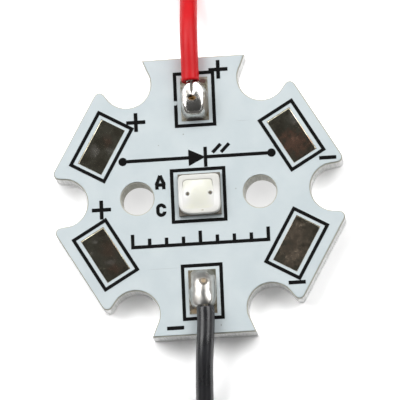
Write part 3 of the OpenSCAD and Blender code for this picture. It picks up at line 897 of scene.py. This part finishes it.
@dataclass
class Lead:
    """One insulated lead: a run off the board's edge, then a coil held by a tie.

    The coil takes shift, a share of a turn, to go from one ring to the next. The cut end leans by
    slant, and the thickness wavers by a small share at two slow rates.
    """

    colour: str
    route: Tuple[Vec, ...]
    north: bool
    diameter: float = 1.25
    bore: float = 0.72
    lip_share: float = 0.94
    coil_r: float = 7.5
    turns: float = 3.58
    shift: float = 0.14
    slant: float = -0.03
    waver: float = 0.005
    waver_rates: Pair = (0.9, 0.37)
    sides: int = 28
    per_span: int = 6
    per_turn: int = 48

    def coil_path(self) -> np.ndarray:
        """Centreline of the coil: outer ring on the floor, inner ring, inner ring above it and
        outer ring on top. Radius and height go from one to the next in smooth steps, each done
        before the ring below would be in the way.

        Returns:
            Points at equal angles, in millimetres.
        """
        s = np.linspace(0, self.turns, int(self.turns * self.per_turn) + 1)[1:]
        half = self.diameter / 2
        first = 1 - self.shift
        inwards = smooth_step((s - first) / self.shift)
        rise = smooth_step((s - (first + 1 - self.shift)) / self.shift)
        outwards = smooth_step((s - (first + 2 - 2 * self.shift)) / self.shift)
        r = self.coil_r + half - self.diameter * (inwards - outwards)
        turn = 1.0 if self.north else -1.0
        a = math.pi - 2 * math.pi * s
        end_x, end_y, end_z = self.route[-1]
        x = end_x + self.coil_r + half + r * np.cos(a)
        return spread_points(x, end_y + turn * r * np.sin(a), end_z + self.diameter * rise)

    def path(self) -> np.ndarray:
        """The whole centreline, from the stripped end to the far end."""
        return np.vstack([through_points(np.array(self.route), self.per_span), self.coil_path()])

    def build(self, dresser: Dresser) -> bpy.types.Object:
        """Carries the insulation's round profile along the centreline, hollow at the stripped end.

        Its radius is r (1 + waver * sin(rate s) * sin(other rate s + 1)) at the length s.

        Args:
            dresser: the built finishes.

        Returns:
            The insulated lead.
        """
        line = self.path()
        r = self.diameter / 2
        along = np.linspace(0, path_length(line), len(line))
        rate, other_rate = self.waver_rates
        radii = r * (1 + self.waver * np.sin(along * rate) * np.sin(along * other_rate + 1.0))
        body = tube_points(line, radii, self.sides)
        bore = np.full(2, self.bore / 2)
        hollow = tube_points(line[1:3], bore, self.sides)[:1]
        mouth = tube_points(line[:2], bore, self.sides)[:1]
        lip = tube_points(line[:2], np.full(2, r * self.lip_share), self.sides)[:1]
        rows = np.concatenate([hollow, mouth, lip, body])
        rows[1:4, :, 1] -= self.slant * (rows[1:4, :, 0] - line[0][0]) / r
        obj = ring_object(self.colour + "_insulation", rows, flip=True)
        settle(obj, self.colour + "_insulation", dresser, self.colour + "_lead", self.colour + "_coil")
        return obj


RED_ROUTE: Tuple[Vec, ...] = (
    (-0.18, 8.1, 2.35), (-0.18, 9, 2.35), (-0.18, 10, 2.35), (-0.18, 10.8, 2.33), (-0.18, 11.6, 2.22),
    (-0.18, 12.4, 2.0), (-0.18, 13.2, 1.66), (-0.18, 14, 1.29), (-0.18, 14.8, 0.96), (-0.18, 15.6, 0.75),
    (-0.18, 16.4, 0.65), (-0.18, 17.2, 0.63), (-0.18, 18.5, 0.63), (-0.18, 20, 0.63), (-0.18, 21.5, 0.63),
    (-0.18, 23, 0.63), (-0.18, 24.5, 0.63), (-0.18, 26, 0.63))
BLACK_ROUTE: Tuple[Vec, ...] = (
    (0.2, -8.18, 2.35), (0.2, -9, 2.35), (0.14, -10, 2.35), (0.07, -10.8, 2.33), (-0.01, -11.6, 2.22),
    (-0.08, -12.4, 2.0), (-0.14, -13.2, 1.66), (-0.2, -14, 1.29), (-0.24, -14.8, 0.96),
    (-0.27, -15.6, 0.75), (-0.29, -16.4, 0.65), (-0.3, -17.2, 0.63), (-0.3, -18.5, 0.63), (-0.3, -20, 0.63),
    (-0.3, -21.5, 0.63), (-0.3, -23, 0.63), (-0.3, -25, 0.63))


@dataclass(frozen=True)
class Bell:
    """A swell of the solder, or a dent where the rise is negative."""

    x: float
    y: float
    wide: float
    long: float
    rise: float

    def at(self, x: np.ndarray, y: np.ndarray) -> np.ndarray:
        """Its height: rise * exp(-((x - cx) / wide)^2 - ((y - cy) / long)^2)."""
        return self.rise * hump(x, self.x, self.wide) * hump(y, self.y, self.long)


@dataclass(frozen=True)
class Ring:
    """A round ridge in the solder, where a strand's end curls up."""

    x: float
    y: float
    radius: float
    wide: float
    rise: float

    def at(self, x: np.ndarray, y: np.ndarray) -> np.ndarray:
        """Its height: a bell of the distance from the circle."""
        return self.rise * hump(np.hypot(x - self.x, y - self.y), self.radius, self.wide)


@dataclass
class SolderJoint:
    """A frozen drop of solder on a wire pad, drawn with the lead running towards +y.

    From its highest line the top slopes one way along the pad towards the lead, where it may
    droop, and the other way towards the pad's inner end. It is crowned across the pad and
    carries bells and rings. Each slope is the y where it starts and its rise per millimetre.
    Heights are above the pad.
    """

    name: str
    node: str
    base_h: float
    lead_slope: Pair
    inner_slope: Pair
    lead_droop: float
    crown: float
    crown_x: float
    middle_y: float
    half_l: float
    half_w: float
    wire_half_w: float
    rim_power: float
    foot_power: float
    details: Tuple[Union[Bell, Ring], ...]
    mirror: bool = False
    finish: str = "solder"
    slope_soft: float = 0.14
    end_power: float = 24.0
    neck_from: float = 0.3
    end_span: Pair = (0.3125, 0.9375)
    rings: int = 90
    ring_power: float = 0.8
    points_round: int = 200

    def height(self, x: np.ndarray, y: np.ndarray) -> np.ndarray:
        """Works out the height over the pad, before the rim falls away.

        Args:
            x: places across the pad.
            y: places along it.

        Returns:
            The height at each place.
        """
        lead_y, lead_rise = self.lead_slope
        inner_y, inner_rise = self.inner_slope
        past = soft_ramp(y - lead_y, self.slope_soft)
        along = self.base_h + lead_rise * past - self.lead_droop * past ** 2 / 2
        along = along + inner_rise * soft_ramp(inner_y - y, self.slope_soft)
        h = along * (1 - self.crown * ((x - self.crown_x) / self.half_w) ** 2)
        for detail in self.details:
            h = h + detail.at(x, y)
        return h

    def build(self, dresser: Dresser) -> bpy.types.Object:
        """Raises the height over an oval footprint on polar rings.

        The footprint is a superellipse, narrower at the lead's end. The height falls to the pad
        at the rim as the square root of 1 - rho^power, and more steeply at the insulation.

        Args:
            dresser: the built finishes.

        Returns:
            The solder piece.
        """
        rho = np.linspace(1.0, 0.0, self.rings)[:, None] ** self.ring_power
        a = full_turn(self.points_round)[None, :]
        radius = superellipse(a, 1.0, 1.0, self.foot_power)
        v = rho * radius * np.sin(a)
        y = self.middle_y + self.half_l * v
        neck = smooth_step((v - self.neck_from) / (1 - self.neck_from))
        width = self.half_w + (self.wire_half_w - self.half_w) * neck
        x = width * rho * radius * np.cos(a)
        end_from, end_to = self.end_span
        lead_end = smooth_step((np.sin(a) - end_from) / (end_to - end_from))
        power = self.rim_power + (self.end_power - self.rim_power) * lead_end
        fall = np.sqrt(np.clip(1 - rho ** power, 0, 1))
        z = Level.PAD.value + self.height(x, y) * fall
        obj = ring_object(self.name, spread_points(x, -y if self.mirror else y, z), flip=self.mirror)
        settle(obj, "solder", dresser, self.node)
        dresser.dress(obj, self.finish)
        return obj


RED_JOINT = SolderJoint(
    "red_solder", "red_joint", base_h=1.23, lead_slope=(6.62, -0.22), inner_slope=(6.45, -0.08),
    lead_droop=-0.03, crown=0.04, crown_x=0.05, middle_y=6.815, half_l=1.375, half_w=0.96, wire_half_w=0.62,
    rim_power=7.5, foot_power=3.4,
    details=(Bell(-0.1, 7.7, 0.09, 0.5, -0.1), Bell(-0.07, 6.82, 0.25, 0.15, -0.05),
             Bell(-0.5, 7.5, 0.25, 0.5, 0.04), Bell(0.2, 7.4, 0.3, 0.6, 0.05)))
BLACK_JOINT = SolderJoint(
    "black_solder", "black_joint", base_h=0.94, lead_slope=(6.4, 0.16), inner_slope=(6.35, -0.5),
    lead_droop=0.27, crown=0.46, crown_x=0.1, middle_y=6.8, half_l=1.4, half_w=0.95, wire_half_w=0.84,
    rim_power=5.0, foot_power=4.5,
    details=(Ring(0.165, 6.36, 0.19, 0.08, 0.06), Bell(-0.38, 6.75, 0.3, 0.45, -0.03),
             Bell(0.47, 7.3, 0.3, 0.45, -0.035), Bell(0.5, 7.9, 0.5, 0.5, 0.07),
             Bell(0.85, 5.5, 0.3, 0.35, -0.45)),
    mirror=True, finish="dull_solder")


@dataclass
class Strands:
    """The stripped end of a lead: thin tinned wires that leave the insulation and dip into the solder."""

    name: str
    node: str
    x: float
    mirror: bool = False
    count: int = 9
    wire_d: float = 0.19
    bundle_r: float = 0.24
    start_y: float = 8.35
    end_y: float = 6.5
    start_h: float = 0.63
    dip: float = 0.42
    dip_share: float = 0.5
    draw_in: float = 0.5
    twist: float = 1.1
    samples: int = 25
    sides: int = 12

    def build(self, dresser: Dresser) -> bpy.types.Object:
        """Carries a round profile along each strand: a ring of twisted wires about one in the middle.

        Over the first share of their length the strands sink by the dip and draw together.

        Args:
            dresser: the built finishes.

        Returns:
            All strands as one object.
        """
        t = np.linspace(0, 1, self.samples)
        y = self.start_y + (self.end_y - self.start_y) * t
        sunk = smooth_step(t / self.dip_share)
        z = Level.PAD.value + self.start_h - self.dip * sunk
        outer = self.count - 1
        parts: List[bpy.types.Object] = []
        for i in range(self.count):
            r = 0.0 if i == outer else self.bundle_r * (1 - self.draw_in * sunk)
            a = 2 * math.pi * i / outer + self.twist * t
            line = spread_points(self.x + r * np.cos(a), -y if self.mirror else y, z + r * np.sin(a))
            tube = tube_points(line, np.full(len(t), self.wire_d / 2), self.sides)
            parts.append(ring_object(f"{self.name}_{i}", tube, flip=True))
        return settle(joined(self.name, parts), "strands", dresser, self.node)


@dataclass(frozen=True)
class ArmPad:
    """One arm's pad: the arm's direction in degrees and the width of the rounded edge on each side."""

    angle: float
    outer: float = 0.02
    inner: float = 0.02
    end: float = 0.02
    start: float = 0.02


@dataclass
class ArmPads:
    """The four bare pads on the arms: a skin of tin, level in the middle and rounded at its edges."""

    ring: float = 7.8
    half_w: float = 0.95
    half_l: float = 1.8
    pads: Tuple[ArmPad, ...] = (ArmPad(30.0, outer=0.08, end=0.1), ArmPad(150.0, outer=0.09),
                                ArmPad(210.0, inner=0.06, start=0.12), ArmPad(330.0, end=0.06))
    foot: float = 1.67
    top: float = 1.735
    corner_power: float = 26.0
    edge_rings: int = 10
    level_rings: Pair = (1.15, 1.3)
    points_round: int = 240

    def pad(self, pad: ArmPad) -> bpy.types.Object:
        """Carries the edge's section round one pad's outline, a superellipse close to a rectangle.

        From the mask's level the edge rises as a quarter sine, so it ends level, while each side
        draws in by its own width. Two rings further in keep the top level.

        Args:
            pad: the pad's direction and edges.

        Returns:
            The pad.
        """
        a = full_turn(self.points_round)[None, :]
        share = np.concatenate([[0.0], np.linspace(0, 1, self.edge_rings), self.level_rings])[:, None]
        rise = np.sin(np.clip(share, 0, 1) * math.pi / 2)
        z = Level.MASK.value + (self.top - Level.MASK.value) * rise
        z[0] = self.foot
        wide = self.half_w - share * (pad.outer + pad.inner) / 2
        long = self.half_l - share * (pad.end + pad.start) / 2
        r = superellipse(a, wide, long, self.corner_power)
        x = self.ring + share * (pad.inner - pad.outer) / 2 + r * np.cos(a)
        y = share * (pad.start - pad.end) / 2 + r * np.sin(a)
        cos, sin = math.cos(math.radians(pad.angle)), math.sin(math.radians(pad.angle))
        return ring_object(f"arm_pad_{pad.angle:.0f}", spread_points(x * cos - y * sin, x * sin + y * cos, z))

    def build(self, dresser: Dresser) -> bpy.types.Object:
        """Makes the four pads one piece."""
        obj = joined("arm_pads", [self.pad(pad) for pad in self.pads])
        return settle(obj, "tin", dresser, "side_pad_tin")


@dataclass
class LedPackage:
    """The LED's moulded body and its fill.

    The body has bulging sides, a rounded rim and a square recess with sloping walls. Its corners
    are squarer at the top than at the lower right and lower left, as the powers say.
    """

    x: float = 0.09
    y: float = -0.055
    half: float = 1.475
    half_y_share: float = 0.965
    top_power: float = 10.0
    low_left_power: float = 3.3
    low_right_power: float = 5.5
    undercut: float = 0.03
    foot_h: float = 0.05
    rim_r: float = 0.12
    recess_half: float = 1.05
    recess_shift: Pair = (-0.08, 0.03)
    recess_power: float = 10.0
    lip_r: float = 0.05
    slope: float = 0.1
    dome_h: float = 0.17
    dome_power: float = 1.5
    skin: float = 0.012
    film: float = 0.004
    overlap: float = 0.07
    top_gap: float = 0.025
    gap_from: float = 0.2
    gap_over: float = 0.4
    bend_rings: int = 7
    points_round: int = 144
    fill_rings: int = 24
    fill_span: Pair = (0.99, 0.02)
    fill_points_round: int = 96

    def rings(self, a: np.ndarray, radius: np.ndarray, z: np.ndarray, recessed: Size) -> np.ndarray:
        """Places rings about the package's middle, or about the recess's middle.

        Args:
            a: angles on a ring.
            radius: radius of each ring at each angle.
            z: heights.
            recessed: 1 for what lies about the recess's middle and 0 for the rest.

        Returns:
            Array of rings by points by 3.
        """
        shift_x, shift_y = self.recess_shift
        x = self.x + radius * np.cos(a) + recessed * shift_x
        y = self.y + self.half_y_share * (radius * np.sin(a) + recessed * shift_y)
        return spread_points(x, y, z)

    def build(self, dresser: Dresser) -> bpy.types.Object:
        """Carries the wall's section round: up the outside, over the rounded rim, over the lip of
        the recess and down its sloping wall, where the floor closes it.

        The outside follows the outer superellipse and the rest the recess's.

        Args:
            dresser: the built finishes.

        Returns:
            The reflector body.
        """
        a = full_turn(self.points_round)[None, :]
        low = smooth_step((1 - np.sin(a)) / 2)
        left = smooth_step((1 - np.cos(a)) / 2)
        power = self.top_power + (self.low_right_power - self.top_power) * low
        power = power + (self.low_left_power - self.low_right_power) * low * left
        outer = superellipse(a, self.half, self.half, power)
        inner = superellipse(a, self.recess_half, self.recess_half, self.recess_power)
        bend = np.linspace(0, math.pi / 2, self.bend_rings)[:, None]
        radius = np.vstack([outer - self.undercut, outer, outer - self.rim_r * (1 - np.cos(bend)),
                            inner + self.lip_r * (1 - np.sin(bend)), inner - self.slope])
        bottom, rim, floor = Level.LED_BODY.value, Level.LED_RIM.value, Level.RECESS.value
        z = np.vstack([bottom, bottom + self.foot_h, rim - self.rim_r * (1 - np.sin(bend)),
                       rim - self.lip_r * (1 - np.cos(bend)), floor])
        recessed = np.zeros_like(z)
        recessed[-1 - self.bend_rings:] = 1.0
        obj = ring_object("reflector_body", self.rings(a, radius, z, recessed))
        return settle(obj, "reflector", dresser, "led_body")

    def build_fill(self, dresser: Dresser) -> bpy.types.Object:
        """Lays the silicone's domed skin over the recess, as a lens with a level underside.

        Its height over the rim is dome_h * ((1 - u^2)(1 - v^2))^dome_power, where u and v run from
        0 in the middle to 1 at the sides, so it thins out over the rim. At the top it stops short
        of the recess wall.

        Args:
            dresser: the built finishes.

        Returns:
            The skin of the fill.
        """
        a = full_turn(self.fill_points_round)[None, :]
        edge = superellipse(a, self.recess_half, self.recess_half, self.recess_power) + self.overlap
        edge = edge - (self.overlap + self.top_gap) * smooth_step((np.sin(a) - self.gap_from) / self.gap_over)
        share = np.concatenate([[1.0, 1.0], np.linspace(*self.fill_span, self.fill_rings)])[:, None]
        r = share * edge
        u, v = (r * turn(a) / (self.recess_half + self.overlap) for turn in (np.cos, np.sin))
        dome = np.clip(1 - u ** 2, 0, 1) * np.clip(1 - v ** 2, 0, 1)
        z = Level.LED_RIM.value + self.film + self.dome_h * dome ** self.dome_power
        z[0] = Level.LED_RIM.value - self.skin
        obj = ring_object("fill_skin", self.rings(a, r, z, 1.0))
        return settle(obj, "silicone", dresser, "led_fill")


# Studio


@dataclass(frozen=True)
class Lamp:
    """A soft box that faces the object: its middle, width and height in metres, and its watts."""

    name: str
    place: Vec
    size: Pair
    power: float

    def hang(self) -> None:
        """Adds the lamp to the scene."""
        light = bpy.data.lights.new(self.name, "AREA")
        light.shape = "RECTANGLE"
        light.size, light.size_y = self.size
        light.energy = self.power
        obj = bpy.data.objects.new(self.name, light)
        obj.location = self.place
        obj.rotation_euler = (-Vector(self.place)).to_track_quat("-Z", "Y").to_euler()
        bpy.context.scene.collection.objects.link(obj)


@dataclass
class Studio:
    """White floor, a soft box and a thin rail on either side, a strip at the back and a dark ceiling.

    The floor's paper is whiter to the eye than to the light. Under the board's holes it is darker
    and glows a little instead, which makes it an even grey.
    """

    floor_half: float = 1.5
    paper: float = 0.88
    seen_paper: float = 1.5
    hole_paper: float = 0.3
    hole_lift: float = 0.65
    hole_r: float = 1.3
    hole_soft: float = 0.3
    wall: float = 0.16
    ceiling: float = 0.05
    ceiling_z: Pair = (0.6, 0.9)
    lamps: Tuple[Lamp, ...] = (
        Lamp("left box", (-0.32, 0.19, 0.37), (0.36, 0.34), 1.53),
        Lamp("right box", (0.31, 0.21, 0.37), (0.36, 0.34), 1.44),
        Lamp("back strip", (-0.03, 0.36, 0.40), (0.44, 0.16), 0.8),
        Lamp("left rail", (-0.31, -0.12, 0.35), (0.6, 0.018), 0.1),
        Lamp("right rail", (0.31, -0.12, 0.35), (0.6, 0.018), 0.1))

    def under_holes(self, g: Graph) -> Socket:
        """Works out which part of the floor lies under the board's two holes.

        Args:
            g: the floor's graph.

        Returns:
            1 under a hole, fading to 0 round it.
        """
        place = g.split(g.node("ShaderNodeTexCoord").outputs["Object"])
        along = g.math("SUBTRACT", g.math("ABSOLUTE", place["X"]), HOLE_X * MM)
        flat = g.node("ShaderNodeCombineXYZ", {"X": along, "Y": place["Y"]})
        rim = (self.hole_r + self.hole_soft) * MM
        return g.spread(g.length(flat.outputs[0]), self.hole_r * MM, rim, 1.0, 0.0)

    def paint_floor(self) -> bpy.types.Material:
        """Makes the floor's paper.

        Returns:
            The material.
        """
        material = bpy.data.materials.new("white sheet")
        material.use_nodes = True
        g = Graph(material.node_tree)
        g.tree.nodes.clear()
        rays = g.node("ShaderNodeLightPath").outputs
        mirrored = g.math("MAXIMUM", rays["Is Glossy Ray"], rays["Is Transmission Ray"])
        seen = g.math("MAXIMUM", rays["Is Camera Ray"], mirrored)
        under = self.under_holes(g)
        white = g.mix(under, (self.seen_paper,) * 3, (self.hole_paper,) * 3)
        paper = g.node("ShaderNodeBsdfDiffuse", {"Color": g.mix(seen, (self.paper,) * 3, white)})
        lift = g.math("MULTIPLY", seen, g.math("MULTIPLY", under, self.hole_lift))
        glow = g.node("ShaderNodeEmission", {"Strength": lift})
        both = g.node("ShaderNodeAddShader", {0: paper.outputs[0], 1: glow.outputs[0]})
        g.node("ShaderNodeOutputMaterial", {"Surface": both.outputs[0]})
        return material

    def floor(self) -> None:
        """Lays the paper under the object."""
        s = self.floor_half
        mesh = bpy.data.meshes.new("floor")
        mesh.from_pydata([(-s, -s, 0), (s, -s, 0), (s, s, 0), (-s, s, 0)], [], [(0, 1, 2, 3)])
        mesh.materials.append(self.paint_floor())
        obj = bpy.data.objects.new("floor", mesh)
        bpy.context.scene.collection.objects.link(obj)

    def room(self) -> None:
        """Sets a dim room: pale walls, and a dark ceiling that flat metal mirrors."""
        world = bpy.context.scene.world or bpy.data.worlds.new("room")
        bpy.context.scene.world = world
        world.use_nodes = True
        g = Graph(world.node_tree)
        height = g.split(g.node("ShaderNodeTexCoord").outputs["Generated"])["Z"]
        back = world.node_tree.nodes["Background"]
        g.feed(back.inputs["Color"], (1.0, 1.0, 1.0))
        g.feed(back.inputs["Strength"], g.spread(height, *self.ceiling_z, self.wall, self.ceiling))

    def build(self) -> None:
        """Lays the floor, hangs the lamps and sets the dim room."""
        self.floor()
        for lamp in self.lamps:
            lamp.hang()
        self.room()


@dataclass
class PhotoCamera:
    """Long-lens camera a little to the right and front of the board's normal."""

    to_right_deg: float = 5.0
    to_front_deg: float = 12.5
    roll_deg: float = 2.46
    focal_px: float = 4500.0
    px_per_mm: float = 14.2
    image_px: float = 400.0
    centre_px: Pair = (198.6, 194.9)
    sensor_mm: float = 36.0
    clip_m: Pair = (0.01, 20.0)

    def build(self) -> None:
        """Places the camera so that the board's centre falls on its pixel."""
        x = math.sin(math.radians(self.to_right_deg))
        y = -math.sin(math.radians(self.to_front_deg))
        view = Vector((x, y, math.sqrt(1 - x * x - y * y)))
        right = Vector((0, 1, 0)).cross(view).normalized()
        up = view.cross(right)
        roll = math.radians(self.roll_deg)
        cam_x = math.cos(roll) * right - math.sin(roll) * up
        cam_y = math.sin(roll) * right + math.cos(roll) * up
        half = self.image_px / 2
        aim = Vector((0, 0, Level.MASK.value))
        aim += cam_x * ((half - self.centre_px[0]) / self.px_per_mm)
        aim -= cam_y * ((half - self.centre_px[1]) / self.px_per_mm)
        spot = (aim + view * (self.focal_px / self.px_per_mm)) * MM
        data = bpy.data.cameras.new("photo camera")
        data.sensor_width = self.sensor_mm
        data.lens = self.sensor_mm * self.focal_px / self.image_px
        data.clip_start, data.clip_end = self.clip_m
        obj = bpy.data.objects.new("photo camera", data)
        turn = Matrix((cam_x, cam_y, view)).transposed().to_4x4()
        obj.matrix_world = Matrix.Translation(spot) @ turn
        bpy.context.scene.collection.objects.link(obj)
        bpy.context.scene.camera = obj


def main() -> None:
    """Builds the camera, the board's dress, the leads, the joints, the pads, the LED and the studio."""
    logging.basicConfig(level=logging.INFO, format="%(message)s")
    bpy.context.scene.view_settings.view_transform = "Standard"
    PhotoCamera().build()
    dresser = Dresser()
    dresser.dress_frame()
    Lead("red", RED_ROUTE, north=True).build(dresser)
    Lead("black", BLACK_ROUTE, north=False).build(dresser)
    for joint in (RED_JOINT, BLACK_JOINT):
        joint.build(dresser)
    Strands("red_strands", "red_core", x=RED_ROUTE[0][0]).build(dresser)
    Strands("black_strands", "black_core", x=BLACK_ROUTE[0][0], mirror=True).build(dresser)
    ArmPads().build(dresser)
    led = LedPackage()
    led.build(dresser)
    led.build_fill(dresser)
    Studio().build()


if __name__ == "__main__":
    main()
